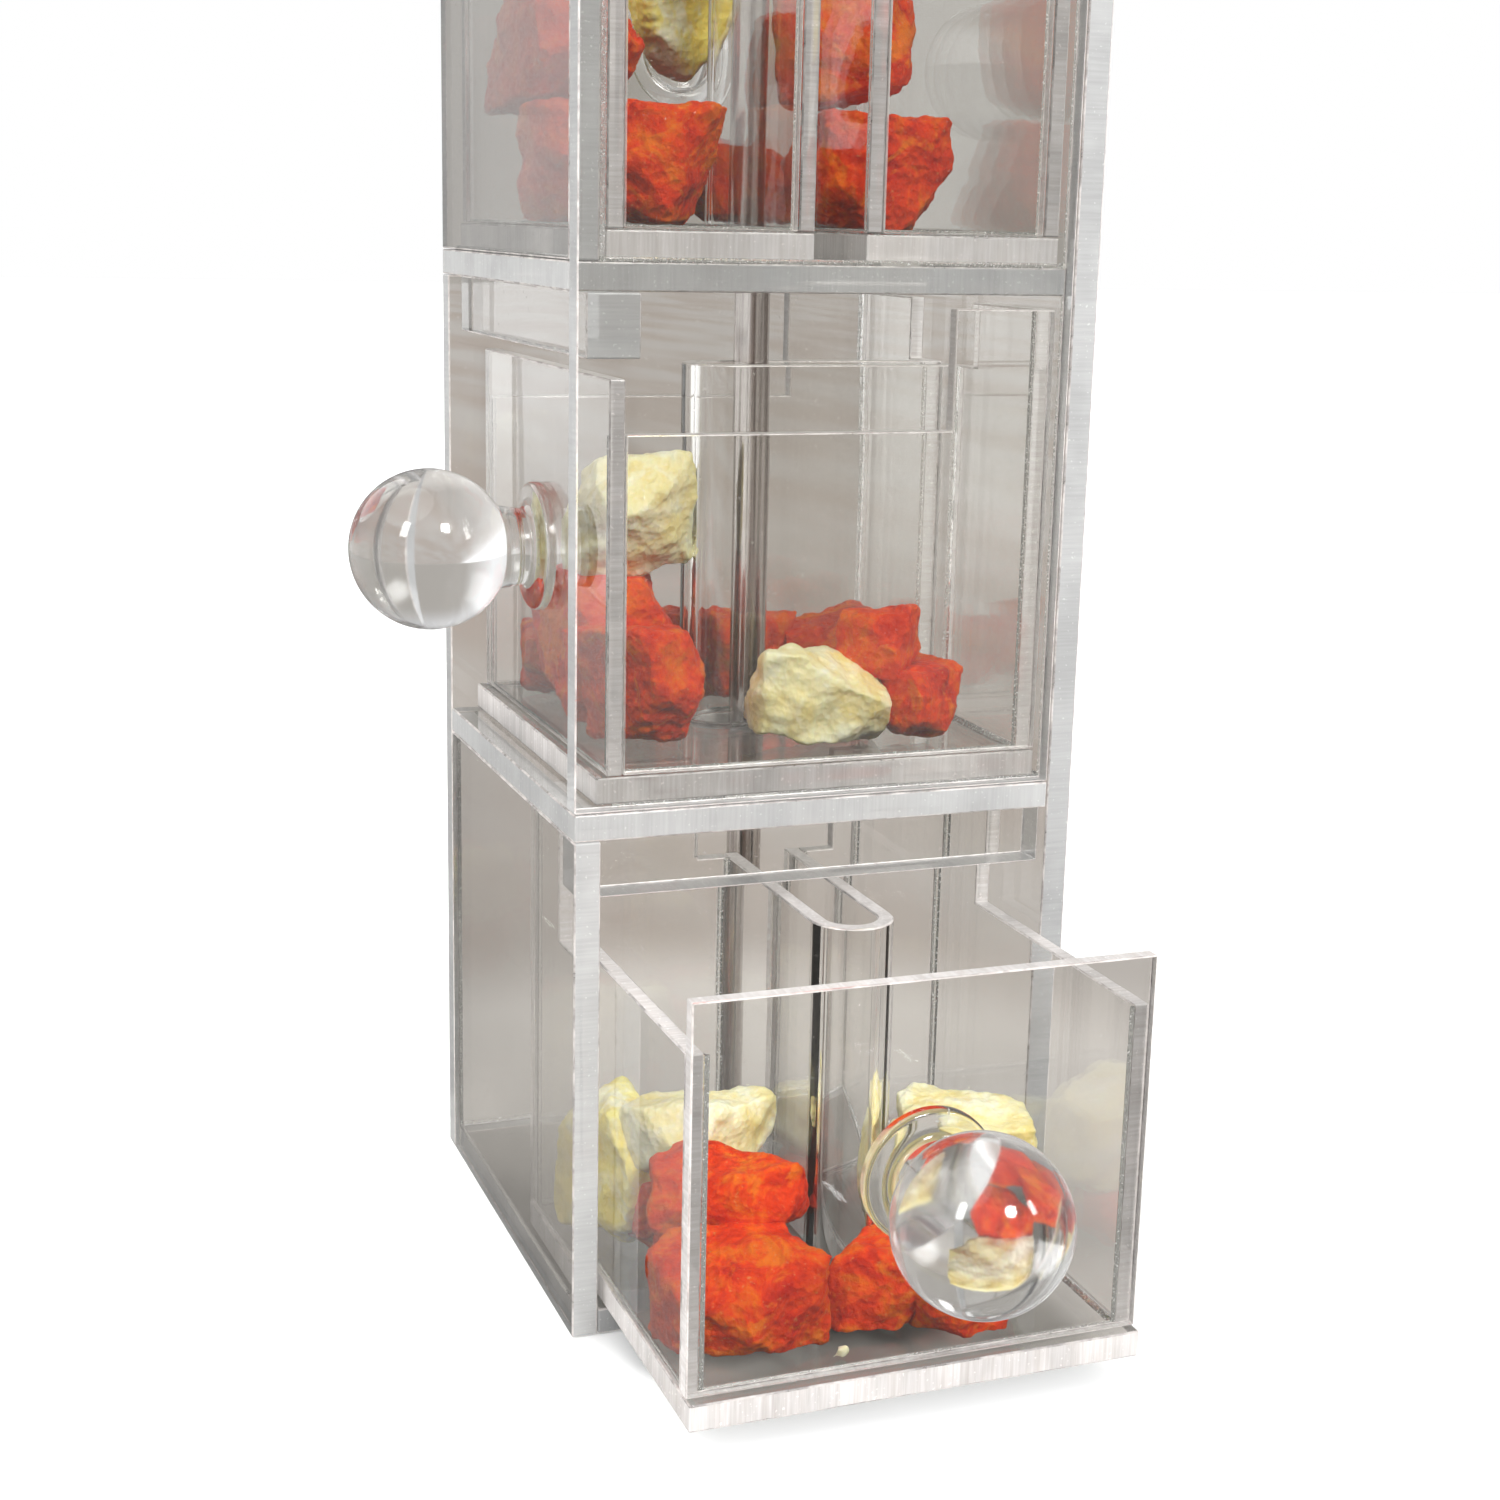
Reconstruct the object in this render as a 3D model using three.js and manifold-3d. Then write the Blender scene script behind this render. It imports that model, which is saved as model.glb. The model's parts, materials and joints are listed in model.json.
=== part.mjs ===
// Candy bulk dispenser: a square tower of clear acrylic tiers, one drawer to a tier.
//
// Each tier's drawer faces a quarter turn on from the tier below it, clockwise seen from
// above, so all four sides of the tower are used. A steel rod runs up the middle through
// every divider, and each drawer has a U-shaped channel that straddles it.
// Units are millimetres, +Z is up, and the origin is the middle of the tower's underside.
// The bottom tier's drawer faces -Y.

import * as THREE from 'three';
import { mergeVertices } from 'three/addons/utils/BufferGeometryUtils.js';
import Module from 'manifold-3d';

// ---- Driving dimensions ----

// Tower
const SIDE = 100; // outer width and depth
const STOCK = 5; // sheet of the walls, dividers, floor and lid
const CLEAR = 92; // free height inside a tier
const TIERS = 4;
const BOND = 0.2; // cement line left between two glued pieces

// Header bar over each drawer opening
const HEADER_HEIGHT = 11.5;
const HEADER_DEPTH = 10;
const HEADER_RECESS = 2.7; // from the tower's face to the bar's face

// Tie rod
const ROD_D = 7;
const ROD_HOLE_D = 8;
const ROD_POCKET = 3; // depth of the rod's seat in the floor
const WASHER_D = 18;
const WASHER_T = 1.4;
const NUT_ACROSS = 12; // across the flats
const NUT_HEX_H = 5.5;
const NUT_DOME_D = 10.6;
const NUT_DOME_H = 6.5;
const NUT_BORE = 8.5; // depth of the nut's blind bore

// Drawer, with heights from the surface that it slides on
const DRAWER_W = 87;
const DRAWER_FACE = 42.6; // tower axis to the front panel's face, drawer shut
const DRAWER_REAR = 44; // tower axis to the rear panel's face, drawer shut
const BASE_T = 5;
const SHEET = 3; // sheet of the drawer's upright panels
const LIP = 2; // base ahead of the front panel
const FRONT_TOP = 76.5;
const SIDE_TOP = 66.8;
const TAB_TOP = 89;
const TAB_LENGTH = 20.3;
const SLIDE_PLAY = 0.4; // under the base
const OPEN_BY = 54; // how far the bottom drawer stands open

// Channel round the rod
const CHANNEL_W = 16;
const CHANNEL_TIP = 14; // tower axis to the outside of its closed end
const NOTCH_W = 29; // low part of the rear panel, about the channel

// Ball knob
const BALL_D = 31;
const BALL_REACH = 22; // panel's face to the ball's middle
const KNOB_HEIGHT = 41;
const FLANGE_D = 25;
const FLANGE_T = 2.2;
const NECK_D = 15;

// Facets
const ROUND_SEGMENTS = 32;
const ARC_SEGMENTS = 12;

// ---- Worked-out sizes ----

const HALF = SIDE / 2;
const INNER = HALF - STOCK; // tower axis to a wall's inner face
const PITCH = CLEAR + STOCK;
const LID_TOP = TIERS * PITCH + STOCK;
const LID_UNDER = LID_TOP - STOCK;
const DRAWER_HALF = DRAWER_W / 2;

// ---- Materials ----

function acrylic(color) {
  return new THREE.MeshStandardMaterial({ color, roughness: 0.06, metalness: 0 });
}

function steel(color) {
  return new THREE.MeshStandardMaterial({ color, roughness: 0.25, metalness: 1 });
}

const CASING_ACRYLIC = acrylic(0xc9cdcb);
const DRAWER_ACRYLIC = acrylic(0xdadedc);
const KNOB_ACRYLIC = acrylic(0xe6ebec);
const ROD_STEEL = steel(0x8d8f90);

// ---- Solids ----

const wasm = await Module();
wasm.setup();

function toManifold(geometry) {
  const bare = geometry.clone();
  bare.deleteAttribute('normal');
  bare.deleteAttribute('uv');
  const merged = mergeVertices(bare);
  return new wasm.Manifold(new wasm.Mesh({
    numProp: 3,
    vertProperties: new Float32Array(merged.attributes.position.array),
    triVerts: new Uint32Array(merged.index.array),
  }));
}

function toGeometry(manifold) {
  const mesh = manifold.getMesh();
  const geometry = new THREE.BufferGeometry();
  geometry.setAttribute('position', new THREE.BufferAttribute(mesh.vertProperties, 3));
  geometry.setIndex(new THREE.BufferAttribute(mesh.triVerts, 1));
  geometry.computeVertexNormals();
  return geometry;
}

function box(x0, x1, y0, y1, z0, z1) {
  const geometry = new THREE.BoxGeometry(x1 - x0, y1 - y0, z1 - z0);
  return geometry.translate((x0 + x1) / 2, (y0 + y1) / 2, (z0 + z1) / 2);
}

// An upright cylinder on the tower's axis.
function disc(diameter, z0, z1, segments = ROUND_SEGMENTS) {
  const geometry = new THREE.CylinderGeometry(diameter / 2, diameter / 2, z1 - z0, segments);
  return geometry.rotateX(Math.PI / 2).translate(0, 0, (z0 + z1) / 2);
}

// A plan outline raised from z0 to z1.
function raised(outline, z0, z1) {
  const options = { depth: z1 - z0, bevelEnabled: false, curveSegments: ARC_SEGMENTS };
  return new THREE.ExtrudeGeometry(outline, options).translate(0, 0, z0);
}

function polygon(points) {
  return new THREE.Shape(points.map(([x, y]) => new THREE.Vector2(x, y)));
}

function rectangle(x0, x1, y0, y1) {
  return polygon([[x0, y0], [x1, y0], [x1, y1], [x0, y1]]);
}

// A (Y, Z) outline given thickness along X, from x0 to x1.
function alongX(outline, x0, x1) {
  return raised(outline, x0, x1).rotateX(Math.PI / 2).rotateZ(Math.PI / 2);
}

// An (X, Z) outline given thickness along Y, from y0 to y1.
function alongY(outline, y0, y1) {
  return raised(outline, -y1, -y0).rotateX(Math.PI / 2);
}

function piece(name, geometry, material) {
  const mesh = new THREE.Mesh(geometry, material);
  mesh.name = name;
  return mesh;
}

// ---- Casing ----

// The solid floor has a blind seat for the rod's lower end.
function floorPlate() {
  const reach = INNER - BOND;
  const plate = toManifold(box(-reach, reach, -HALF, reach, 0, STOCK));
  const seat = toManifold(disc(ROD_HOLE_D, STOCK - ROD_POCKET, STOCK + 1));
  return toGeometry(plate.subtract(seat));
}

// A plate with the rod's hole. It reaches the tower's face wherever a tier opens against
// it, and stops at the wall elsewhere.
function pierced([x0, x1, y0, y1], z0) {
  const outline = rectangle(x0, x1, y0, y1);
  const hole = new THREE.Path();
  hole.absarc(0, 0, ROD_HOLE_D / 2, 0, 2 * Math.PI);
  outline.holes.push(hole);
  return raised(outline, z0, z0 + STOCK);
}

function plates() {
  const wall = INNER - BOND;
  const reaches = [
    [-HALF, wall, -HALF, wall],
    [-HALF, wall, -wall, HALF],
    [-wall, HALF, -wall, HALF],
  ];
  const dividers = reaches.map((reach, i) => (
    piece(`divider_${i + 1}`, pierced(reach, (i + 1) * PITCH), CASING_ACRYLIC)
  ));
  const lid = piece('lid', pierced([-HALF, HALF, -HALF, HALF], LID_UNDER), CASING_ACRYLIC);
  return [piece('floor_plate', floorPlate(), CASING_ACRYLIC), ...dividers, lid];
}

// The underside and top of the divider above a tier, less the cement line.
const under = (tier) => tier * PITCH - BOND;
const onTop = (tier) => tier * PITCH + STOCK + BOND;

// The front wall stands on the first divider. From the third divider up it widens to the
// tower's corner, because the right wall stops there.
function frontWall() {
  const inside = INNER - BOND;
  const step = 3 * PITCH;
  const outline = polygon([
    [-HALF, onTop(1)], [inside, onTop(1)], [inside, step], [HALF, step],
    [HALF, under(TIERS)], [-HALF, under(TIERS)],
  ]);
  return alongY(outline, -HALF, -INNER);
}

function walls() {
  const inside = INNER - BOND;
  const solids = {
    front_wall: frontWall(),
    right_wall: box(INNER, HALF, -HALF, HALF, 0, under(3)),
    back_wall_lower: box(-HALF, inside, INNER, HALF, 0, under(2)),
    back_wall_upper: box(-inside, HALF, INNER, HALF, onTop(3), under(TIERS)),
    left_wall_lower: box(-HALF, -INNER, -HALF, inside, 0, under(1)),
    left_wall_upper: box(-HALF, -INNER, -inside, HALF, onTop(2), under(TIERS)),
  };
  return Object.entries(solids).map(([name, solid]) => piece(name, solid, CASING_ACRYLIC));
}

// The bar that closes the gap over a drawer and stops the drawer's tabs.
function header(tier) {
  const face = HALF - HEADER_RECESS;
  const end = INNER - BOND;
  const top = CLEAR - BOND;
  const bar = box(-end, end, -face, HEADER_DEPTH - face, CLEAR - HEADER_HEIGHT, top);
  return piece(`header_${tier}`, bar, CASING_ACRYLIC);
}

// ---- Tie rod ----

function rod() {
  const end = LID_TOP + WASHER_T + BOND + NUT_BORE - 1;
  return disc(ROD_D, STOCK - ROD_POCKET + BOND, end);
}

function washer(z0) {
  const outline = new THREE.Shape().absarc(0, 0, WASHER_D / 2, 0, 2 * Math.PI);
  const hole = new THREE.Path();
  hole.absarc(0, 0, ROD_HOLE_D / 2, 0, 2 * Math.PI);
  outline.holes.push(hole);
  return raised(outline, z0, z0 + WASHER_T);
}

function capNut(z0) {
  const cornerD = NUT_ACROSS / Math.cos(Math.PI / 6);
  const hexTop = z0 + NUT_HEX_H;
  const dome = [new THREE.Vector2(0, -1), new THREE.Vector2(NUT_DOME_D / 2, -1)];
  for (let i = 0; i <= ARC_SEGMENTS; i += 1) {
    const turn = (i / ARC_SEGMENTS) * (Math.PI / 2);
    const radius = i === ARC_SEGMENTS ? 0 : (NUT_DOME_D / 2) * Math.cos(turn);
    dome.push(new THREE.Vector2(radius, NUT_DOME_H * Math.sin(turn)));
  }
  const round = new THREE.LatheGeometry(dome, ROUND_SEGMENTS);
  round.rotateX(Math.PI / 2).translate(0, 0, hexTop);
  const hex = toManifold(disc(cornerD, z0, hexTop, 6));
  const bore = toManifold(disc(ROD_D + 2 * BOND, z0 - 1, z0 + NUT_BORE));
  return toGeometry(hex.add(toManifold(round)).subtract(bore));
}

function tie() {
  const seat = LID_TOP + BOND;
  return [
    piece('tie_rod', rod(), ROD_STEEL),
    piece('washer', washer(seat), ROD_STEEL),
    piece('cap_nut', capNut(seat + WASHER_T + BOND), ROD_STEEL),
  ];
}

// ---- Drawer, facing -Y, on the tower's axis and standing on z = 0 ----

// A U in plan, open at the rear and round at its closed end.
function traceSlot(path, radius, rear) {
  const middle = CHANNEL_W / 2 - CHANNEL_TIP;
  path.lineTo(radius, rear);
  path.lineTo(radius, middle);
  path.absarc(0, middle, radius, 0, -Math.PI, true);
  path.lineTo(-radius, rear);
}

function drawerBase() {
  const outline = new THREE.Shape();
  outline.moveTo(-DRAWER_HALF, -DRAWER_FACE - LIP);
  outline.lineTo(DRAWER_HALF, -DRAWER_FACE - LIP);
  outline.lineTo(DRAWER_HALF, DRAWER_REAR);
  traceSlot(outline, CHANNEL_W / 2 - SHEET, DRAWER_REAR);
  outline.lineTo(-DRAWER_HALF, DRAWER_REAR);
  return raised(outline, 0, BASE_T);
}

function channel() {
  const outer = CHANNEL_W / 2;
  const middle = outer - CHANNEL_TIP;
  const outline = new THREE.Shape();
  outline.moveTo(-outer, DRAWER_REAR);
  outline.lineTo(-outer, middle);
  outline.absarc(0, middle, outer, Math.PI, 2 * Math.PI);
  outline.lineTo(outer, DRAWER_REAR);
  traceSlot(outline, outer - SHEET, DRAWER_REAR);
  return raised(outline, BASE_T + BOND, FRONT_TOP);
}

// The side's top edge is low for serving, and rises to a tab at the rear.
function sidePanel(x0) {
  const front = -DRAWER_FACE + SHEET + BOND;
  const tab = DRAWER_REAR - TAB_LENGTH;
  const foot = BASE_T + BOND;
  const outline = polygon([
    [front, foot], [DRAWER_REAR, foot], [DRAWER_REAR, TAB_TOP],
    [tab, TAB_TOP], [tab, SIDE_TOP], [front, SIDE_TOP],
  ]);
  return alongX(outline, x0, x0 + SHEET);
}

// Half of the rear panel: tall beside the side panel, low beside the channel.
function rearPanel(hand) {
  const inner = CHANNEL_W / 2 + BOND;
  const outer = DRAWER_HALF - SHEET - BOND;
  const foot = BASE_T + BOND;
  const points = [
    [inner, foot], [outer, foot], [outer, TAB_TOP],
    [NOTCH_W / 2, TAB_TOP], [NOTCH_W / 2, FRONT_TOP], [inner, FRONT_TOP],
  ];
  const outline = polygon(points.map(([x, z]) => [hand * x, z]));
  return alongY(outline, DRAWER_REAR - SHEET, DRAWER_REAR);
}

// A ball on a waisted neck and a round flange, turned about its own axis.
function knob() {
  const ball = BALL_D / 2;
  const start = Math.asin(NECK_D / BALL_D);
  const profile = [
    new THREE.Vector2(0, BOND),
    new THREE.Vector2(FLANGE_D / 2, BOND),
    new THREE.Vector2(FLANGE_D / 2, FLANGE_T * 0.7),
    new THREE.Vector2(FLANGE_D / 2 - 0.8, FLANGE_T),
    new THREE.Vector2(NECK_D / 2, FLANGE_T + 0.6),
  ];
  const rings = 18;
  for (let i = 0; i <= rings; i += 1) {
    const turn = start + (i / rings) * (Math.PI - start);
    const radius = i === rings ? 0 : ball * Math.sin(turn);
    profile.push(new THREE.Vector2(radius, BALL_REACH - ball * Math.cos(turn)));
  }
  const geometry = new THREE.LatheGeometry(profile, ROUND_SEGMENTS);
  return geometry.rotateX(Math.PI).translate(0, -DRAWER_FACE, KNOB_HEIGHT);
}

function drawer(tier) {
  const frontPanel = box(
    -DRAWER_HALF, DRAWER_HALF, -DRAWER_FACE, -DRAWER_FACE + SHEET, BASE_T + BOND, FRONT_TOP,
  );
  const solids = {
    base: drawerBase(),
    front: frontPanel,
    left_side: sidePanel(-DRAWER_HALF),
    right_side: sidePanel(DRAWER_HALF - SHEET),
    rear_left: rearPanel(-1),
    rear_right: rearPanel(1),
    channel: channel(),
  };
  const group = new THREE.Group();
  for (const [name, solid] of Object.entries(solids)) {
    group.add(piece(`drawer_${tier}_${name}`, solid, DRAWER_ACRYLIC));
  }
  group.add(piece(`drawer_${tier}_knob`, knob(), KNOB_ACRYLIC));
  return group;
}

// ---- Assembly ----

const dispenser = new THREE.Group();
dispenser.add(...plates(), ...walls(), ...tie());

for (let tier = 1; tier <= TIERS; tier += 1) {
  const bay = new THREE.Group();
  const tray = drawer(tier);
  tray.position.set(0, tier === 1 ? -OPEN_BY : 0, SLIDE_PLAY);
  bay.add(header(tier), tray);
  bay.rotation.z = (1 - tier) * (Math.PI / 2);
  bay.position.z = (tier - 1) * PITCH + STOCK;
  dispenser.add(bay);
}

export default dispenser;
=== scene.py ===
import json
import math
import random

import bpy
from mathutils import Matrix, Vector


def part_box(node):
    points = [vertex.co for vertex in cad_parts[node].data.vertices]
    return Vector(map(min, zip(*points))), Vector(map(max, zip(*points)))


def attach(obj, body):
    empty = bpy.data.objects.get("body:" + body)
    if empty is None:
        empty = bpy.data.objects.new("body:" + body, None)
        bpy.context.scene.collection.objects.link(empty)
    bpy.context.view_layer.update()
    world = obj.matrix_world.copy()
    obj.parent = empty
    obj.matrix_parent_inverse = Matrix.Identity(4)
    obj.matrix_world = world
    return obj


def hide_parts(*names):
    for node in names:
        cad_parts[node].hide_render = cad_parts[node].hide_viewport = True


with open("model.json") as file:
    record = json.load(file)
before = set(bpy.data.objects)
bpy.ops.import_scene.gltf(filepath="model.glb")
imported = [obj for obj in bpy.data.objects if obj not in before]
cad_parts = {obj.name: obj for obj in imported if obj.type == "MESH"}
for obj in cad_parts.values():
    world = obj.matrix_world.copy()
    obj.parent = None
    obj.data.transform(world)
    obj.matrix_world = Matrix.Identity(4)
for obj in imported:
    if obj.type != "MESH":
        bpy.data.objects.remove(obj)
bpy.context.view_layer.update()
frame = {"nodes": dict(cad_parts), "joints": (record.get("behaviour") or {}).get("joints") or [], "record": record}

# A tower of four clear acrylic drawers of candied fruit. Each piece is made where its CAD node stands.

MM = 0.001
QUARTER_TURN = math.pi / 2

# From the bottom up: a drawer's tier lies between one plate and the next
DRAWERS = ("drawer_1", "drawer_2", "drawer_3", "drawer_4")
PLATES = ("floor_plate", "divider_1", "divider_2", "divider_3", "lid")
HARDWARE = ("tie_rod", "washer", "cap_nut")

CASING_TINT = (0.955, 0.955, 0.945)
DRAWER_TINT = (0.965, 0.963, 0.955)
SHEET_IOR = 1.44     # a little low, for reflections as faint as a real sheet's
ACRYLIC_IOR = 1.49
CEMENT_IOR = 1.46
FRUIT_IOR = 1.42

EASED_CORNER = 0.3 * MM
DRAWER_WALL = 3 * MM
REAR_TO_MIDDLE = 44 * MM     # from a drawer's rear edge to the middle of its own frame
BEAD_WIDTH = 0.9 * MM

# How much of a face's normal lies along an axis: at least, to face along it, and at most, to lie along it
SQUARE_ON, EDGE_ON = 0.95, 0.1

# A Mix node's sockets for colours
FIRST_COLOUR, SECOND_COLOUR, MIXED_COLOUR = 6, 7, 2

# Light crosses dozens of clear walls on its way through the tower
cycles = bpy.context.scene.cycles
cycles.max_bounces = 24
cycles.transmission_bounces = 24
cycles.transparent_max_bounces = 40
cycles.glossy_bounces = 5
cycles.diffuse_bounces = 3
cycles.caustics_reflective = False
cycles.caustics_refractive = False
bpy.context.scene.view_settings.view_transform = "Standard"


# ---- Camera ----

def set_up_camera():
    """In front of the tower and to its left, level with its middle, looking down at the open drawer."""
    pan, tilt, roll = (math.radians(angle) for angle in (20.83, 13.24, 1.31))
    ahead = Vector((math.sin(pan) * math.cos(tilt), math.cos(pan) * math.cos(tilt), -math.sin(tilt)))
    lens = bpy.data.cameras.new("camera")
    lens.sensor_width = 36
    lens.lens = 54.6
    camera = bpy.data.objects.new("camera", lens)
    bpy.context.scene.collection.objects.link(camera)
    level = ahead.to_track_quat("-Z", "Y")
    camera.rotation_mode = "QUATERNION"
    camera.rotation_quaternion = level @ Matrix.Rotation(roll, 4, "Z").to_quaternion()
    camera.location = (-0.1607, -0.4284, 0.2074)
    bpy.context.scene.camera = camera


# ---- Shader nodes ----

class Field:
    """A value or a colour that varies over a surface, with arithmetic for values."""

    def __init__(self, finish, socket):
        self.finish = finish
        self.socket = socket

    def maths(self, operation, first, second):
        return self.finish.node("ShaderNodeMath", {"operation": operation}, {0: first, 1: second})

    def __add__(self, other):
        return self.maths("ADD", self, other)

    __radd__ = __add__

    def __mul__(self, other):
        return self.maths("MULTIPLY", self, other)

    __rmul__ = __mul__

    def __sub__(self, other):
        return self.maths("SUBTRACT", self, other)

    def __rsub__(self, other):
        return self.maths("SUBTRACT", other, self)


def set_stops(ramp, stops):
    """Gives a ramp, which starts with two stops, all the (place, colour) pairs."""
    for place, colour in stops[2:]:
        ramp.elements.new(place)
    for element, (place, colour) in zip(ramp.elements, sorted(stops)):
        element.position = place
        element.color = (*colour, 1)


class Nodes:
    """A tree of shader nodes under construction."""

    def __init__(self, tree):
        self.tree = tree

    def node(self, kind, settings=None, sockets=None, output=0):
        made = self.tree.nodes.new(kind)
        for key, value in (settings or {}).items():
            if key == "stops":
                set_stops(made.color_ramp, value)
            else:
                setattr(made, key, value)
        for key, value in (sockets or {}).items():
            if isinstance(value, Field):
                self.tree.links.new(value.socket, made.inputs[key])
            else:
                made.inputs[key].default_value = value
        return Field(self, made.outputs[output])

    def ramp(self, value, *stops):
        return self.node("ShaderNodeValToRGB", {"stops": stops}, {0: value})

    def step(self, value, low, high):
        """0 below low, 1 above high, and a smooth rise between them."""
        return self.node("ShaderNodeMapRange", {"interpolation_type": "SMOOTHSTEP"},
                         {"Value": value, "From Min": low, "From Max": high})

    def blend(self, share, first, second):
        """A colour: the first where share is 0, the second where it is 1."""
        first, second = [c if isinstance(c, Field) else (*c, 1) for c in (first, second)]
        return self.node("ShaderNodeMix", {"data_type": "RGBA"},
                         {0: share, FIRST_COLOUR: first, SECOND_COLOUR: second}, MIXED_COLOUR)

    def mixed(self, share, first, second):
        """A surface: the first where share is 0, the second where it is 1."""
        return self.node("ShaderNodeMixShader", None, {0: share, 1: first, 2: second})

    def coordinate(self, vector, axis):
        return self.node("ShaderNodeSeparateXYZ", None, {0: vector}, axis)

    def ray(self, kind):
        return self.node("ShaderNodeLightPath", output=f"Is {kind} Ray")

    def studio_colour(self, pale, through, mirrored):
        """Pale to look at and to light by; other colours where acrylic bends it or anything mirrors it, which on
        the floor are painted light and shade.
        """
        return self.blend(self.ray("Transmission"), self.blend(self.ray("Glossy"), pale, mirrored), through)


class Finish(Nodes):
    """A procedural material, patterned on the place of each point in the object's frame."""

    def __init__(self, name):
        self.material = bpy.data.materials.new(name)
        self.material.use_nodes = True
        super().__init__(self.material.node_tree)
        self.tree.nodes.clear()

    def place(self):
        return self.node("ShaderNodeTexCoord", output="Object")

    def stretched(self, scale):
        return self.node("ShaderNodeMapping", None, {"Vector": self.place(), "Scale": scale})

    def noise(self, scale, detail=2.0, roughness=0.5, where=None, warp=0.0):
        """Cloudy values from 0 to 1, with about scale lumps to the metre."""
        return self.node("ShaderNodeTexNoise", None,
                         {"Vector": where or self.place(), "Scale": scale, "Detail": detail,
                          "Roughness": roughness, "Distortion": warp})

    def cells(self, scale):
        return self.node("ShaderNodeTexVoronoi", None, {"Vector": self.place(), "Scale": scale})

    def bump(self, height, depth, strength):
        return self.node("ShaderNodeBump", None,
                         {"Height": height, "Distance": depth, "Strength": strength})

    def surface(self, **sockets):
        named = {key.replace("_", " "): value for key, value in sockets.items()}
        return self.node("ShaderNodeBsdfPrincipled", None, named)

    def clear(self, tint):
        return self.node("ShaderNodeBsdfTransparent", None, {"Color": (*tint, 1)})

    def lit_through(self, glass, tint):
        """Glass that lets lamplight fall on what is behind it."""
        return self.mixed(self.ray("Shadow"), glass, self.clear(tint))

    def done(self, surface):
        out = self.tree.nodes.new("ShaderNodeOutputMaterial")
        self.tree.links.new(surface.socket, out.inputs["Surface"])
        return self.material


# ---- Finishes ----

def polished_sheet(name, tint):
    """The flat faces of clear cast acrylic, with faint smudges and a slight waviness."""
    f = Finish(name)
    smudge = f.step(f.noise(26, detail=5, roughness=0.6, warp=0.6), 0.5, 0.72)
    dust = f.step(f.noise(900, detail=1), 0.73, 0.78)
    waves = f.noise(16, detail=1)
    smudged_tint = tuple(c * 0.975 for c in tint)
    glass = f.surface(Base_Color=f.blend(smudge, tint, smudged_tint), IOR=SHEET_IOR,
                      Roughness=smudge * 0.018 + dust * 0.2, Transmission_Weight=1.0,
                      Normal=f.bump(waves, depth=0.0009, strength=0.2))
    return f.done(f.lit_through(glass, (0.98, 0.98, 0.975)))


def cut_edge(name, axis, tone, marked, share, marks):
    """The cut edge of a sheet whose thickness runs along axis.

    It is milky by share, of the colour tone between the cutter's marks and the colour marked in them.
    """
    f = Finish(name)
    scale = [1.0, 1.0, 1.0]
    scale[axis] = 0.04
    along = f.stretched(scale)
    lines = f.noise(1700, detail=3, roughness=0.6, where=along)
    runs = f.step(f.noise(180, detail=4, roughness=0.6, where=along), 0.4, 0.65)
    patches = f.step(f.noise(45, detail=3, roughness=0.6), 0.4, 0.62)
    bubbles = f.step(f.noise(1500, detail=1), 0.68, 0.73)
    relief = lines * marks + runs * marks * 0.3 + bubbles * 0.5
    glass = f.surface(Base_Color=f.blend(patches, (0.97, 0.965, 0.96), (0.99, 0.99, 0.985)),
                      Roughness=patches * 0.06 + lines * marks * 0.15 + 0.02, IOR=ACRYLIC_IOR,
                      Transmission_Weight=1.0, Normal=f.bump(relief, depth=0.00012, strength=0.12))
    milk = f.surface(Base_Color=f.blend(f.step(lines, 0.2, 0.8), marked, tone), Roughness=0.4)
    milkiness = bubbles * 0.2 + runs * marks * 0.2 + patches * 0.08 + lines * marks * 0.25 + share
    return f.done(f.lit_through(f.mixed(milkiness, glass, milk), (0.94, 0.94, 0.935)))


def sawn_edge(axis):
    """The casing's edges: sawn and scraped, an even milky grey."""
    return cut_edge("sawn_edge_" + "xyz"[axis], axis,
                    tone=(0.57, 0.57, 0.565), marked=(0.50, 0.50, 0.495), share=0.5, marks=0.15)


def routed_edge(axis):
    """The drawers' edges: pale, with the cutter's fine ripple; their slight pink is painted glints of the light
    caught in them.
    """
    # Painted glint: the pink in both colours stands for light caught inside the edges
    return cut_edge("routed_edge_" + "xyz"[axis], axis,
                    tone=(0.93, 0.90, 0.885), marked=(0.76, 0.70, 0.665), share=0.45, marks=0.4)


def painted_glint_corner(name):
    """The narrow eased corners of the sheets, painted white and a little pink: painted highlights for the glints
    that run along every edge.
    """
    f = Finish(name)
    nicks = f.noise(900, detail=3, roughness=0.7)
    # Painted highlight: patches where the corners are whiter, as brighter glints
    painted_glint_patches = f.step(f.noise(160, detail=3, roughness=0.6), 0.4, 0.62)
    glass = f.surface(Base_Color=(0.99, 0.98, 0.975, 1), Roughness=nicks * 0.12 + 0.02, IOR=ACRYLIC_IOR,
                      Transmission_Weight=1.0, Normal=f.bump(nicks, depth=0.0002, strength=0.15))
    # Painted highlight: the milky white and pink stand for the glints the eased corners catch
    milk = f.surface(Base_Color=f.blend(nicks, (0.64, 0.565, 0.53), (0.80, 0.765, 0.75)), Roughness=0.3)
    milkiness = painted_glint_patches * 0.3 + nicks * 0.3 + 0.2
    return f.done(f.lit_through(f.mixed(milkiness, glass, milk), (0.92, 0.92, 0.91)))


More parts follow.
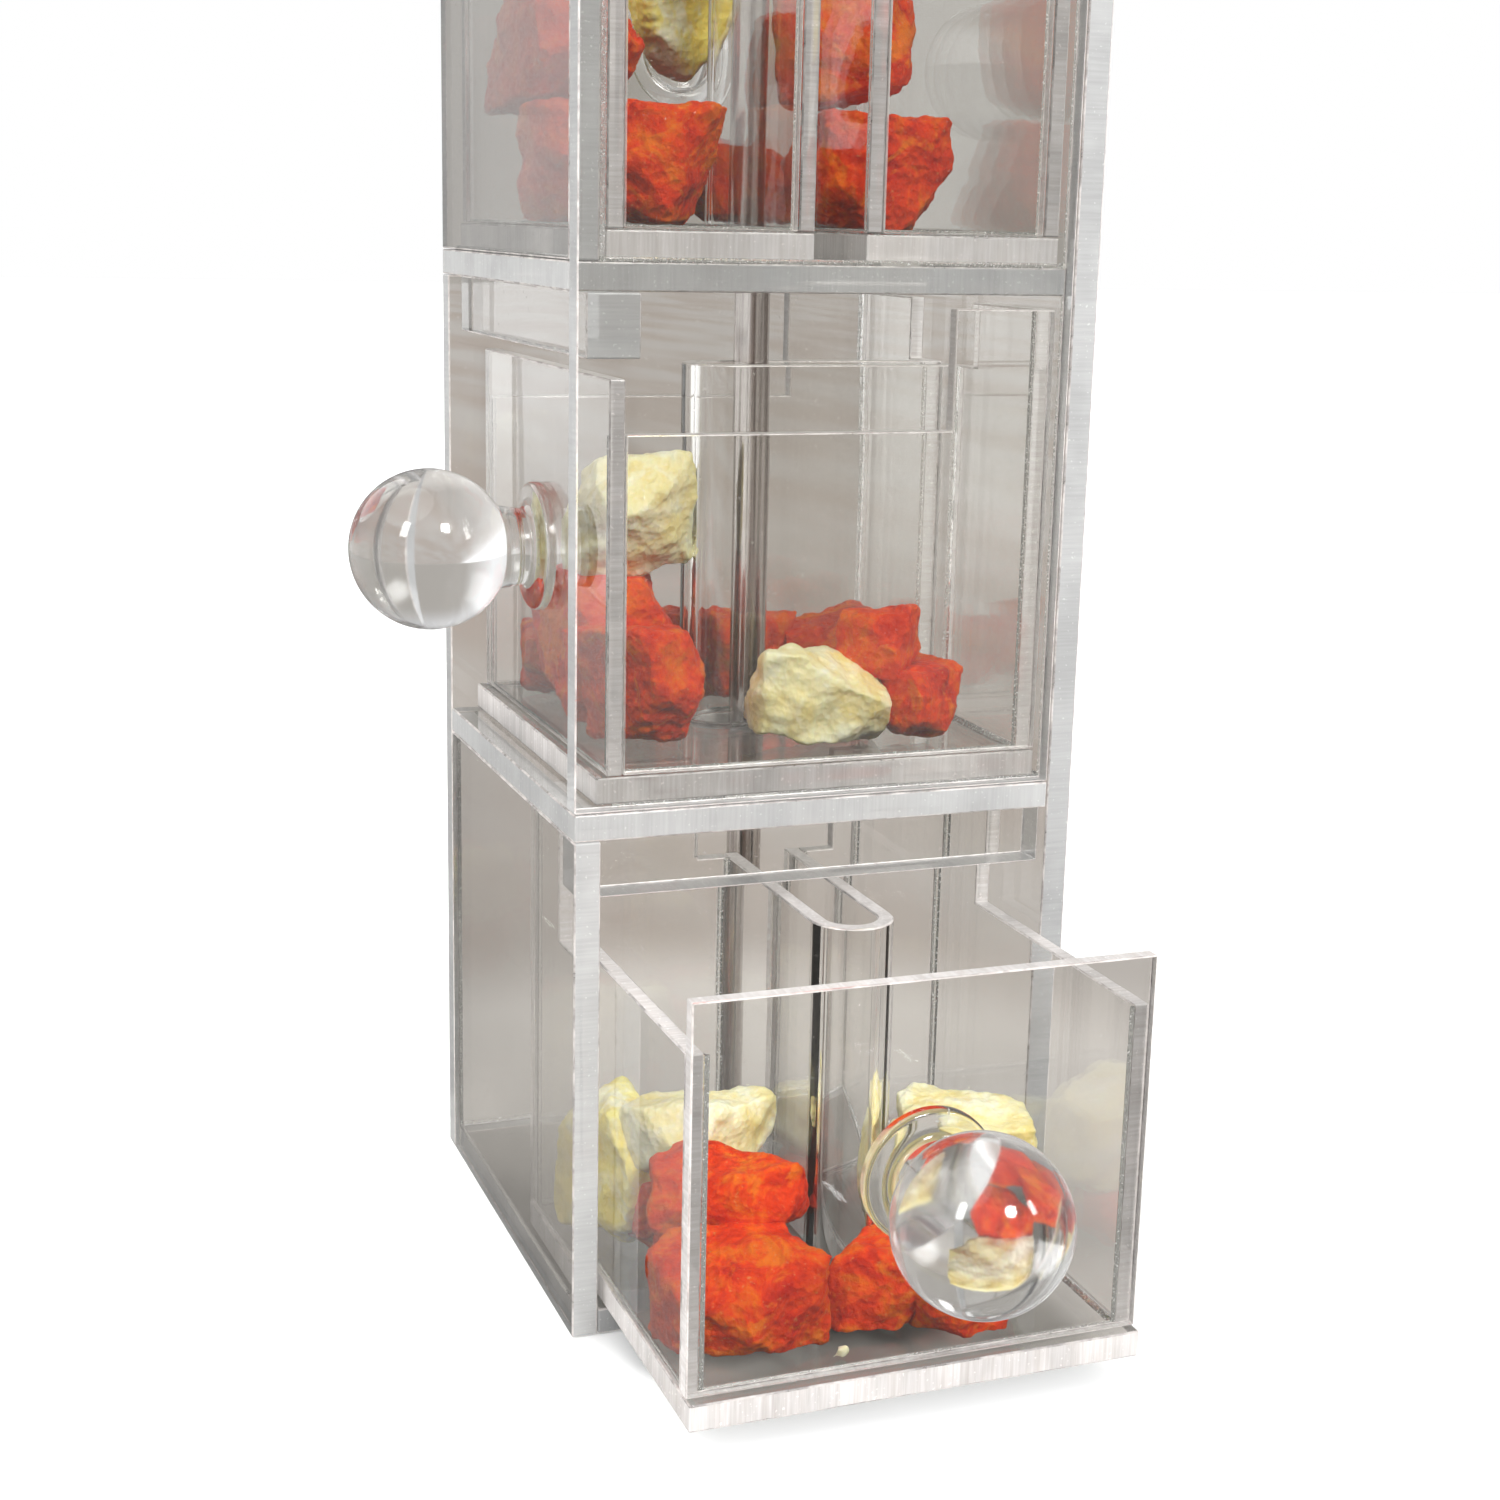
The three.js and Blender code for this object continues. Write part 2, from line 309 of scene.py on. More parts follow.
def cement(name):
    """Set solvent cement: clear, uneven and full of tiny bubbles."""
    f = Finish(name)
    bubbles = f.step(f.noise(2200, detail=1), 0.6, 0.7)
    runs = f.noise(300, detail=3)
    glass = f.surface(Base_Color=f.blend(runs, (0.93, 0.92, 0.9), (0.98, 0.98, 0.97)),
                      Roughness=runs * 0.12 + 0.02, IOR=CEMENT_IOR, Transmission_Weight=1.0,
                      Normal=f.bump(runs + bubbles, depth=0.0003, strength=0.6))
    milk = f.surface(Base_Color=(0.93, 0.92, 0.9, 1), Roughness=0.35)
    return f.done(f.lit_through(f.mixed(bubbles * 0.5 + 0.05, glass, milk), (0.94, 0.94, 0.93)))


def turned_acrylic(name):
    """The ball knobs: solid, buffed to a soft gloss, with faint swirls of the turning."""
    f = Finish(name)
    swirl = f.noise(45, warp=1.5)
    wipe = f.step(f.noise(120, detail=4, roughness=0.6), 0.55, 0.8)
    glass = f.surface(Base_Color=f.blend(swirl, (0.985, 0.99, 0.995), (0.965, 0.975, 0.98)),
                      Roughness=wipe * 0.05 + 0.08, IOR=ACRYLIC_IOR, Transmission_Weight=1.0,
                      Normal=f.bump(swirl, depth=0.0004, strength=0.12))
    return f.done(f.lit_through(glass, (0.95, 0.96, 0.96)))


def bonded_face(name):
    """The back of a knob's flange, wetted by the cement: clear but for a few trapped bubbles."""
    f = Finish(name)
    bubbles = f.step(f.noise(900), 0.66, 0.74)
    bubble = f.surface(Base_Color=(0.93, 0.92, 0.9, 1), Roughness=0.3)
    return f.done(f.mixed(bubbles * 0.4, f.clear((0.97, 0.97, 0.965)), bubble))


def bright_steel(name, grain):
    """Bright steel with fine lines along the axis that grain stretches, browned here and there, and painted light
    and dark bands, stretched like the lines, for the streaks of reflection it shows.
    """
    f = Finish(name)
    along = f.stretched(grain)
    lines = f.noise(2400, detail=3, roughness=0.6, where=along)
    # Painted reflection: light and dark bands in the colour, for the sheen and dark streaks the steel mirrors
    painted_sheen_bands = f.step(f.noise(620, roughness=0.6, where=along), 0.38, 0.62)
    stain = f.step(f.noise(60, detail=4, roughness=0.65), 0.45, 0.75)
    colour = f.blend(painted_sheen_bands, (0.13, 0.095, 0.08), (0.54, 0.51, 0.49))
    colour = f.blend(stain * 0.6, colour, (0.26, 0.20, 0.165))
    return f.done(f.surface(Base_Color=colour, Metallic=1.0, Roughness=lines * 0.12 + stain * 0.12 + 0.08,
                            Normal=f.bump(lines + painted_sheen_bands, depth=0.00005, strength=0.4)))


def candied_papaya(name):
    """Red to orange flesh, paler where it broke, under a crust of fine sugar."""
    f = Finish(name)
    flesh = f.noise(130, detail=6, roughness=0.7, warp=0.6)
    pale = f.step(f.noise(75, detail=5, roughness=0.68, warp=1.2), 0.55, 0.66)
    sugar = f.step(f.noise(1100, roughness=0.7), 0.64, 0.72)
    colour = f.ramp(flesh, (0.34, (0.62, 0.012, 0.001)), (0.66, (1.0, 0.19, 0.002)),
                    (0.5, (0.95, 0.055, 0.001)))
    colour = f.blend(pale * 0.75, colour, (1.0, 0.23, 0.008))
    colour = f.blend(sugar * 0.35, colour, (1.0, 0.5, 0.15))
    grain = f.cells(620) * 0.5 + f.noise(300, detail=6, roughness=0.8)
    return f.done(f.surface(Base_Color=colour, Roughness=0.46 - sugar * 0.2 + pale * 0.1, IOR=FRUIT_IOR,
                            Specular_IOR_Level=0.16, Subsurface_Weight=0.12, Subsurface_Scale=1.0,
                            Subsurface_Radius=(0.004, 0.001, 0.0004),
                            Coat_Weight=sugar * 0.5, Coat_Roughness=0.14,
                            Normal=f.bump(grain, depth=0.0015, strength=0.9)))


def candied_pineapple(name, deep, pale):
    """Fibres from deep to pale, crumbling to cream, under a crust of fine sugar."""
    f = Finish(name)
    fibre = f.noise(150, detail=5, roughness=0.65, where=f.stretched((1, 1, 0.35)), warp=0.7)
    crumb = f.step(f.noise(70, detail=4, roughness=0.6, warp=1.0), 0.44, 0.64)
    sugar = f.step(f.noise(1200, roughness=0.7), 0.6, 0.72)
    colour = f.blend(f.step(fibre, 0.3, 0.7), deep, pale)
    colour = f.blend(crumb * 0.75, colour, (0.97, 0.95, 0.74))
    colour = f.blend(sugar * 0.4, colour, (1.0, 0.97, 0.86))
    grain = f.cells(800) * 0.45 + fibre
    return f.done(f.surface(Base_Color=colour, Roughness=0.5 - sugar * 0.22, IOR=FRUIT_IOR,
                            Specular_IOR_Level=0.25, Subsurface_Weight=0.4, Subsurface_Scale=1.0,
                            Subsurface_Radius=(0.004, 0.003, 0.0012),
                            Coat_Weight=sugar * 0.4, Coat_Roughness=0.15,
                            Normal=f.bump(grain, depth=0.0009, strength=0.6)))


def floor_paint(name):
    """Pale matt paint to look at and to light by. Through the acrylic it is painted light and shade: an even warm
    grey near the tower, darker mottled streaks further out and pale towards the left; mirrored, it is painted
    dark, paler towards the left.
    """
    f = Finish(name)
    streaks = f.noise(9, where=f.stretched((1, 0.2, 1)))
    pale = f.blend(f.noise(5, detail=3), (0.90, 0.90, 0.895), (0.93, 0.93, 0.93))
    # Painted shade: the dark mottled grey the acrylic shows of the floor away from the tower
    mottled_painted_shade = f.blend(f.step(streaks, 0.35, 0.65), (0.262, 0.228, 0.202), (0.30, 0.281, 0.262))
    leftward = f.step(0 - f.coordinate(f.place(), 0), 0.08, 0.6)
    distance = f.node("ShaderNodeVectorMath", {"operation": "LENGTH"}, {0: f.place()}, 1)
    away = f.step(distance, 0.13, 0.2)
    # Painted light: pale towards the left, as from a bright side of the room
    through = f.blend(leftward, mottled_painted_shade, (0.80, 0.80, 0.80))
    # Painted light: a lighter, even warm grey near the tower, where its drawers would shade the floor
    through = f.blend(away, (0.43, 0.405, 0.38), through)
    # Painted reflection: dark where anything mirrors the floor, paler towards the left
    mirrored = f.blend(leftward, (0.09, 0.085, 0.08), (0.5, 0.5, 0.5))
    return f.done(f.surface(Base_Color=f.studio_colour(pale, through, mirrored), Roughness=0.75,
                            Specular_IOR_Level=0.1))


# ---- Studio ----

def hang_lamp(light, heading):
    lamp = bpy.data.objects.new(light.name, light)
    bpy.context.scene.collection.objects.link(lamp)
    lamp.rotation_mode = "QUATERNION"
    lamp.rotation_quaternion = Vector(heading).to_track_quat("-Z", "Y")
    return lamp


def hang_softbox(name, place, size, power):
    """A rectangular lamp that faces the middle of the tower."""
    light = bpy.data.lights.new(name, "AREA")
    light.shape = "RECTANGLE"
    light.size, light.size_y = size
    light.energy = power
    tower_middle = Vector((0, 0, 0.15))
    hang_lamp(light, tower_middle - Vector(place)).location = place


def hang_sky_panel(name, heading, spread, strength):
    """A wide far light, spread degrees across, which isn't seen through the acrylic."""
    light = bpy.data.lights.new(name, "SUN")
    light.angle = math.radians(spread)
    light.energy = strength
    hang_lamp(light, heading).visible_transmission = False


def paint_the_walls():
    """White walls; the acrylic shows them warm grey, brighter at the left, as in a lived-in room."""
    world = bpy.data.worlds.new("studio_walls")
    bpy.context.scene.world = world
    world.use_nodes = True
    room = Nodes(world.node_tree)
    heading = room.node("ShaderNodeTexCoord", output="Generated")
    rightward = room.coordinate(heading, 0) * 0.5 + 0.5
    overhead = room.step(room.coordinate(heading, 2), 0.4, 0.85)
    white, daylight, warm_grey = (1.0, 1.0, 1.0), (1.0, 1.0, 1.0), (0.43, 0.402, 0.37)
    through = room.ramp(rightward, (0.28, daylight), (0.46, warm_grey))
    mirrored = room.ramp(rightward, (0.0, (0.80, 0.80, 0.82)), (1.0, (0.35, 0.34, 0.33)),
                         (0.35, (0.40, 0.40, 0.40)), (0.6, (0.12, 0.115, 0.11)))
    colour = room.studio_colour((0.9, 0.9, 0.9), room.blend(overhead, through, (0.75, 0.75, 0.76)),
                                room.blend(overhead, mirrored, (0.55, 0.55, 0.57)))
    colour = room.blend(room.ray("Camera"), colour, white)
    room.tree.links.new(colour.socket, room.tree.nodes["Background"].inputs["Color"])


def light_the_studio():
    paint_the_walls()
    hang_sky_panel("front_sky_panel", (-0.25, 0.9, -0.7), spread=14, strength=2.3)
    hang_sky_panel("top_sky_panel", (0.5, 0.1, -1.0), spread=60, strength=1.0)
    hang_sky_panel("rear_sky_panel", (0.5, -0.9, -0.6), spread=40, strength=0.7)
    hang_softbox("left_softbox", (-1.0, -0.7, 0.9), size=(0.25, 0.5), power=8)
    hang_softbox("right_softbox", (1.0, -1.0, 0.8), size=(0.2, 0.4), power=5)


def lay_floor():
    """A floor just under the tower, so that its face and the floor plate's don't coincide."""
    width, drop = 12, 0.3 * MM
    deselect_all()
    bpy.ops.mesh.primitive_plane_add(size=width, location=(0, 0, -drop))
    floor = bpy.context.object
    floor.name = "floor"
    floor.data.materials.append(floor_paint("floor_paint"))


# ---- Handling meshes ----

def deselect_all():
    bpy.ops.object.select_all(action="DESELECT")


def wake(piece):
    """Makes the piece the only one selected, and active."""
    deselect_all()
    piece.select_set(True)
    bpy.context.view_layer.objects.active = piece


def edit(piece, choose="SELECT"):
    wake(piece)
    bpy.ops.object.mode_set(mode="EDIT")
    bpy.ops.mesh.select_all(action=choose)


def stop_editing():
    bpy.ops.object.mode_set(mode="OBJECT")


def select(piece, kind, wanted):
    """Selects the vertices, edges or faces that pass the test, and returns to edit mode."""
    bpy.ops.mesh.select_mode(type=kind)
    bpy.ops.mesh.select_all(action="DESELECT")
    stop_editing()
    parts = {"VERT": piece.data.vertices, "EDGE": piece.data.edges, "FACE": piece.data.polygons}[kind]
    for part in parts:
        part.select = wanted(part)
    bpy.ops.object.mode_set(mode="EDIT")


def start(name, choose="DESELECT"):
    """Names the primitive that was just added and opens it for editing."""
    piece = bpy.context.object
    piece.name = piece.data.name = name
    edit(piece, choose)
    return piece


def modify(piece, kind, **settings):
    wake(piece)
    modifier = piece.modifiers.new(kind.lower(), kind)
    for key, value in settings.items():
        setattr(modifier, key, value)
    bpy.ops.object.modifier_apply(modifier=modifier.name)


def ease_corners(piece, width, least_turn):
    """Rounds over every edge that turns by more than least_turn degrees."""
    modify(piece, "BEVEL", width=width, segments=2, limit_method="ANGLE",
           angle_limit=math.radians(least_turn))


def smooth_below(angle):
    """Shades the piece in hand smooth, except over edges that turn by more than the angle in degrees."""
    bpy.ops.object.shade_smooth_by_angle(angle=math.radians(angle))


def join(pieces):
    """Joins the pieces into the first of them."""
    wake(pieces[0])
    for piece in pieces:
        piece.select_set(True)
    bpy.ops.object.join()
    return pieces[0]


def fix_place(piece):
    """Puts the piece's place in its mesh."""
    wake(piece)
    bpy.ops.object.transform_apply(location=True, rotation=True, scale=True)


def give_finishes(piece, *finishes):
    piece.data.materials.clear()
    for finish in finishes:
        piece.data.materials.append(finish)


def facing(body):
    """Turns a drawer's own frame, which opens towards -Y, to the way the drawer opens."""
    joint = next(joint for joint in frame["joints"] if joint["child"] == body)
    out = Vector(joint["axis"])
    return Matrix.Rotation(math.atan2(out.x, -out.y), 4, "Z")


def drawer_frame(body):
    """The drawer's own frame: under its base, on the line it slides along."""
    turn = facing(body)
    lo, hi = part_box(body + "_base")
    middle = (lo + hi) / 2
    half_depth = abs((turn.inverted() @ (hi - lo)).y) / 2
    origin = middle + turn @ Vector((0, half_depth - REAR_TO_MIDDLE, 0))
    return Matrix.Translation((origin.x, origin.y, lo.z)) @ turn


def local_box(body, part):
    """A drawer piece's corners in the drawer's own frame."""
    inward = drawer_frame(body).inverted()
    ends = [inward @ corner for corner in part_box(f"{body}_{part}")]
    lo = Vector(min(end[axis] for end in ends) for axis in range(3))
    hi = Vector(max(end[axis] for end in ends) for axis in range(3))
    return lo, hi


# ---- Acrylic sheets ----

def thin_axis(node):
    lo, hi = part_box(node)
    sizes = list(hi - lo)
    return sizes.index(min(sizes))


def finish_faces(piece, axis):
    """First finish across the thickness, second on the edges along it, third on the corners between."""
    for polygon in piece.data.polygons:
        lean = abs(polygon.normal[axis])
        if lean > SQUARE_ON:
            polygon.material_index = 0
        elif lean < EDGE_ON:
            polygon.material_index = 1
        else:
            polygon.material_index = 2


def dress_sheet(node, body, face, edges, corner):
    """A sheet with eased corners: polished on its two faces and cut round its edges."""
    axis = thin_axis(node)
    piece = bpy.data.objects.new(node + "_sheet", frame["nodes"][node].data.copy())
    bpy.context.scene.collection.objects.link(piece)
    edit(piece)
    bpy.ops.mesh.remove_doubles(threshold=0.002 * MM)
    bpy.ops.mesh.dissolve_limited(angle_limit=math.radians(0.5))
    stop_editing()
    ease_corners(piece, EASED_CORNER, 35)
    bpy.ops.object.shade_flat()
    give_finishes(piece, face, edges[axis], corner)
    finish_faces(piece, axis)
    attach(piece, body)
    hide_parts(node)


def bend_channel(body, face, rim, end, corner):
    """The U channel: one strip bent round a rod and left open at the rear."""
    lo, hi = local_box(body, "channel")
    outer = (hi.x - lo.x) / 2
    middle = lo.y + outer
    near = 0.01 * MM
    deselect_all()
    bpy.ops.mesh.primitive_circle_add(vertices=64, radius=outer - DRAWER_WALL / 2,
                                      location=(0, middle, lo.z))
    piece = start(body + "_bent_channel")
    select(piece, "VERT", lambda v: v.co.y > near)
    bpy.ops.mesh.delete(type="VERT")
    for side in (-1, 1):
        select(piece, "VERT", lambda v: abs(v.co.y) < near and v.co.x * side > 0)
        bpy.ops.mesh.extrude_vertices_move(TRANSFORM_OT_translate={"value": (0, hi.y - middle, 0)})
    bpy.ops.mesh.select_all(action="SELECT")
    bpy.ops.mesh.extrude_edges_move(TRANSFORM_OT_translate={"value": (0, 0, hi.z - lo.z)})
    bpy.ops.mesh.select_all(action="SELECT")
    bpy.ops.mesh.normals_make_consistent(inside=False)
    stop_editing()
    modify(piece, "SOLIDIFY", thickness=DRAWER_WALL, offset=0, use_even_offset=True)
    ease_corners(piece, EASED_CORNER, 40)
    smooth_below(12)
    piece.matrix_world = drawer_frame(body) @ Matrix.Translation((0, middle, lo.z))
    fix_place(piece)
    give_finishes(piece, face, rim, end, corner)
    finish_channel(piece, drawer_frame(body).inverted(), hi.y - DRAWER_WALL)
    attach(piece, body)
    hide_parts(body + "_channel")


def finish_channel(piece, inward, last_wall):
    """In order: the bent faces, the top and bottom rims, the two rear ends, and the corners."""
    least_rearward = 0.3
    for polygon in piece.data.polygons:
        normal = inward.to_3x3() @ polygon.normal
        at_end = (inward @ polygon.center).y > last_wall
        if abs(normal.z) > SQUARE_ON:
            polygon.material_index = 1
        elif at_end and normal.y > SQUARE_ON:
            polygon.material_index = 2
        elif abs(normal.z) < EDGE_ON and (normal.y < least_rearward or not at_end):
            polygon.material_index = 0
        else:
            polygon.material_index = 3


# ---- Turned pieces ----

def turned(name, profile, sides=72):
    """A solid of revolution about Z: a disc extruded from each (radius, height) to the next."""
    radius, height = profile[0]
    deselect_all()
    bpy.ops.mesh.primitive_circle_add(vertices=sides, radius=radius, fill_type="NGON",
                                      location=(0, 0, height))
    piece = start(name, "SELECT")
    for wider, higher in profile[1:]:
        bpy.ops.mesh.extrude_region_move(TRANSFORM_OT_translate={"value": (0, 0, higher - height)})
        grow = wider / radius
        bpy.ops.transform.resize(value=(grow, grow, 1), center_override=(0, 0, higher))
        radius, height = wider, higher
    bpy.ops.mesh.select_all(action="SELECT")
    bpy.ops.mesh.normals_make_consistent(inside=False)
    stop_editing()
    return piece


def quarter(steps):
    """The angles of a quarter round, in even steps."""
    return [i / steps * QUARTER_TURN for i in range(steps + 1)]


def ball_profile(reach, radius):
    """The knob from its flange to the end of its ball, as (radius, height off the panel)."""
    flange, rim, rim_start = 12.5 * MM, 1.0 * MM, 1.2 * MM
    neck, cove_start, cove_width, cove_height = 7.4 * MM, 2.3 * MM, 3.4 * MM, 1.6 * MM
    glue_line = 0.05 * MM
    tip = 0.05 * MM
    rings = 45
    profile = [(flange, glue_line)]
    for turn in quarter(6):
        profile.append((flange - rim + math.cos(turn) * rim, rim_start + math.sin(turn) * rim))
    for turn in quarter(8)[1:]:
        profile.append((neck + (1 - math.sin(turn)) * cove_width,
                        cove_start + (1 - math.cos(turn)) * cove_height))
    neck_angle = math.asin(neck / radius)
    for ring in range(1, rings + 1):
        turn = neck_angle + ring / (rings + 0.5) * (math.pi - neck_angle)
        profile.append((radius * math.sin(turn), reach - radius - radius * math.cos(turn)))
    profile.append((tip, reach))
    return profile


def turn_knob(body, finish, bonded):
    lo, hi = local_box(body, "knob")
    knob = turned(body + "_ball_knob", ball_profile(hi.y - lo.y, (hi.x - lo.x) / 2))
    smooth_below(40)
    outward = Matrix.Rotation(QUARTER_TURN, 4, "X")
    knob.matrix_world = drawer_frame(body) @ Matrix.Translation((0, hi.y, (lo.z + hi.z) / 2)) @ outward
    fix_place(knob)
    give_finishes(knob, finish, bonded)
    back = facing(body) @ Vector((0, 1, 0))
    for polygon in knob.data.polygons:
        is_flange_back = polygon.normal.dot(back) > SQUARE_ON and len(polygon.vertices) > 4
        polygon.material_index = int(is_flange_back)
    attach(knob, body)
    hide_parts(body + "_knob")


def fit_hardware(piece, node, finish):
    """Steel that goes with the casing."""
    smooth_below(30)
    fix_place(piece)
    give_finishes(piece, finish)
    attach(piece, "casing")
    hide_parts(node)


def turn_rod(finish):
    lo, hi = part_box("tie_rod")
    radius = (hi.x - lo.x) / 2
    chamfer = 0.5 * MM
    profile = [(radius - chamfer, lo.z), (radius, lo.z + chamfer), (radius, hi.z - chamfer),
               (radius - chamfer, hi.z)]
    fit_hardware(turned("drawn_rod", profile, sides=64), "tie_rod", finish)


def stamp_washer(finish):
    hole, burr = 4 * MM, 0.2 * MM
    lo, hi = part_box("washer")
    radius = (hi.x - lo.x) / 2
    deselect_all()
    bpy.ops.mesh.primitive_circle_add(vertices=72, radius=radius, fill_type="NGON", location=(0, 0, lo.z))
    washer = start("rod_washer", "SELECT")
    bpy.ops.mesh.inset(thickness=radius - hole)
    bpy.ops.mesh.delete(type="FACE")
    stop_editing()
    modify(washer, "SOLIDIFY", thickness=hi.z - lo.z, offset=1)
    ease_corners(washer, burr, 30)
    fit_hardware(washer, "washer", finish)


def dome_profile(radius, foot, top):
    """A short collar sunk into the hexagon, then a dome up to the top."""
    sunk, collar = 0.3 * MM, 0.5 * MM
    rings = 19
    profile = [(radius, foot - sunk), (radius, foot + collar)]
    for ring in range(1, rings + 1):
        turn = ring / (rings + 0.3) * QUARTER_TURN
        profile.append((radius * math.cos(turn), foot + collar + (top - foot - collar) * math.sin(turn)))
    return profile


def forge_cap_nut(finish):
    """A hexagon with chamfered corners, a recess under it, a collar and a dome."""
    hexagon, dome_radius, chamfer = 5.5 * MM, 5.3 * MM, 0.5 * MM
    land, recess = 2.2 * MM, 0.6 * MM
    level, downward = 0.1 * MM, -0.9
    lo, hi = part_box("cap_nut")
    deselect_all()
    bpy.ops.mesh.primitive_cylinder_add(vertices=6, radius=(hi.y - lo.y) / 2, depth=hexagon,
                                        location=(0, 0, lo.z + hexagon / 2), rotation=(0, 0, 0))
    nut = start("rod_cap_nut")
    points = nut.data.vertices
    select(nut, "EDGE", lambda e: abs(points[e.vertices[0]].co.z - points[e.vertices[1]].co.z) < level)
    bpy.ops.mesh.bevel(offset=chamfer, segments=2)
    select(nut, "FACE", lambda face: face.normal.z < downward)
    bpy.ops.mesh.inset(thickness=land)
    bpy.ops.mesh.extrude_region_move(TRANSFORM_OT_translate={"value": (0, 0, recess)})
    stop_editing()
    dome = turned("cap_nut_dome", dome_profile(dome_radius, lo.z + hexagon, hi.z))
    fit_hardware(join([nut, dome]), "cap_nut", finish)


# ---- Cement beads ----

def bead(begin, end, one, other):
    """A hollow bead of cement along a joint; one and other are its two ways into the open."""
    along = end - begin
    half, hollow = BEAD_WIDTH / 2, BEAD_WIDTH * 0.86
    deselect_all()
    bpy.ops.mesh.primitive_cube_add(size=1, location=(0.5, 0.5, 0.5))
    piece = start("bead", "SELECT")
    bpy.ops.transform.resize(value=(BEAD_WIDTH, BEAD_WIDTH, along.length), center_override=(0, 0, 0))
    stop_editing()
    fix_place(piece)
    edit(piece, "DESELECT")
    points = piece.data.vertices
    select(piece, "EDGE", lambda e: all(min(points[v].co.xy) > half for v in e.vertices))
    bpy.ops.mesh.bevel(offset=hollow, segments=4, profile=0.25)
    stop_editing()
    axes = Matrix((one, other, along.normalized())).transposed()
    if axes.determinant() < 0:
        axes = Matrix((other, one, along.normalized())).transposed()
    piece.matrix_world = Matrix.Translation(begin) @ axes.to_4x4()
    fix_place(piece)
    return piece


def lay_beads(name, runs, body, place, finish):
    """One piece of cement from runs of (begin, end, one way into the open, the other way)."""
    piece = join([bead(*(Vector(point) for point in run)) for run in runs])
    piece.name = piece.data.name = name
    piece.matrix_world = place
    fix_place(piece)
    give_finishes(piece, finish)
    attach(piece, body)


def cement_drawer(body, finish):
    """Beads round the inside of the tray, where its panels meet."""
    below_rim = 10 * MM
    floor = local_box(body, "base")[1].z
    front = local_box(body, "front")[1].y
    low = local_box(body, "front")[1].z - below_rim
    side = abs(local_box(body, "left_side")[1].x)
    rear, rear_top = local_box(body, "rear_left")[0].y, local_box(body, "rear_left")[1].z
    (channel, tip, _), (_, _, top) = local_box(body, "channel")
    half_channel = abs(channel)
    runs = [((-side, front, floor), (side, front, floor), (0, 1, 0), (0, 0, 1))]
    for way in (-1, 1):
        wall, rib = way * side, way * half_channel
        runs += [
            ((wall, front, floor), (wall, rear, floor), (-way, 0, 0), (0, 0, 1)),
            ((wall, front, floor), (wall, front, low), (-way, 0, 0), (0, 1, 0)),
            ((wall, rear, floor), (wall, rear, rear_top), (-way, 0, 0), (0, -1, 0)),
            ((wall, rear, floor), (rib, rear, floor), (0, -1, 0), (0, 0, 1)),
            ((rib, tip + half_channel, floor), (rib, rear, floor), (way, 0, 0), (0, 0, 1)),
            ((rib, rear, floor), (rib, rear, top), (way, 0, 0), (0, -1, 0)),
        ]
    lay_beads(body + "_cement", runs, body, drawer_frame(body), finish)


def cement_tier(body, below, above, finish):
    """Beads in the tier's rear corners and round the foot of its walls."""
    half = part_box("right_wall")[0].x
    low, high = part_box(below)[1].z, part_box(above)[0].z
    set_back = 3 * MM
    front = set_back - half
    runs = [((-half, half, low), (half, half, low), (0, -1, 0), (0, 0, 1))]
    for way in (-1, 1):
        runs += [
            ((way * half, half, low), (way * half, half, high), (-way, 0, 0), (0, -1, 0)),
            ((way * half, front, low), (way * half, half, low), (-way, 0, 0), (0, 0, 1)),
        ]
    name = body.replace("drawer", "tier") + "_cement"
    lay_beads(name, runs, "casing", facing(body), finish)


# ---- Candied fruit ----

def break_corners(size, chance):
    """Breaks pieces off the corners of the block in hand, each on its own slanting plane."""
    breaks, least_slant, deepest, shallowest = 6, 0.35, 0.25, 0.37
    for _ in range(breaks):
        corner = Vector(chance.choice((-1, 1)) * side for side in size)
        away = Vector(chance.uniform(least_slant, 1) * math.copysign(1, c) for c in corner).normalized()
        bpy.ops.mesh.select_all(action="SELECT")
        bpy.ops.mesh.bisect(plane_co=corner * chance.uniform(deepest, shallowest), plane_no=away,
                            use_fill=True, clear_outer=True)


def chunk(name, size, place, seed, crags):
    """A block of candied fruit: skewed, its corners broken off, then ever finer lumps."""
    skew = 0.16 * min(size)
    deselect_all()
    bpy.ops.mesh.primitive_cube_add(size=1, location=(0, 0, 0))
    piece = start(name, "SELECT")
    bpy.ops.transform.resize(value=size)
    bpy.ops.transform.vertex_random(offset=skew, seed=seed)
    break_corners(size, random.Random(seed))
    stop_editing()
    modify(piece, "REMESH", mode="VOXEL", voxel_size=1.3 * MM)
    modify(piece, "SMOOTH", factor=0.5, iterations=3)
    piece.matrix_world = place
    fix_place(piece)
    for texture, depth, finer in crags:
        modify(piece, "DISPLACE", texture=texture, texture_coords="LOCAL", strength=depth, mid_level=0.5)
        if finer:
            modify(piece, "SUBSURF", levels=1, render_levels=1)
    bpy.ops.object.shade_smooth()
    return piece


def cloud(name, size, basis):
    texture = bpy.data.textures.new(name, "CLOUDS")
    texture.noise_scale = size
    texture.noise_depth = 2
    texture.noise_basis = basis
    return texture


def fruit_crags():
    """The lumps of a chunk as (texture, depth, whether its mesh is made finer after it)."""
    return ((cloud("lumps", 7 * MM, "BLENDER_ORIGINAL"), 3.5 * MM, False),
            (cloud("breaks", 5 * MM, "VORONOI_F2_F1"), 1.7 * MM, True),
            (cloud("crystals", 1.5 * MM, "BLENDER_ORIGINAL"), 0.7 * MM, False))


PAPAYA, PINEAPPLE, SLAB = "papaya", "pineapple", "slab"
SEEDS_PER_DRAWER = 20

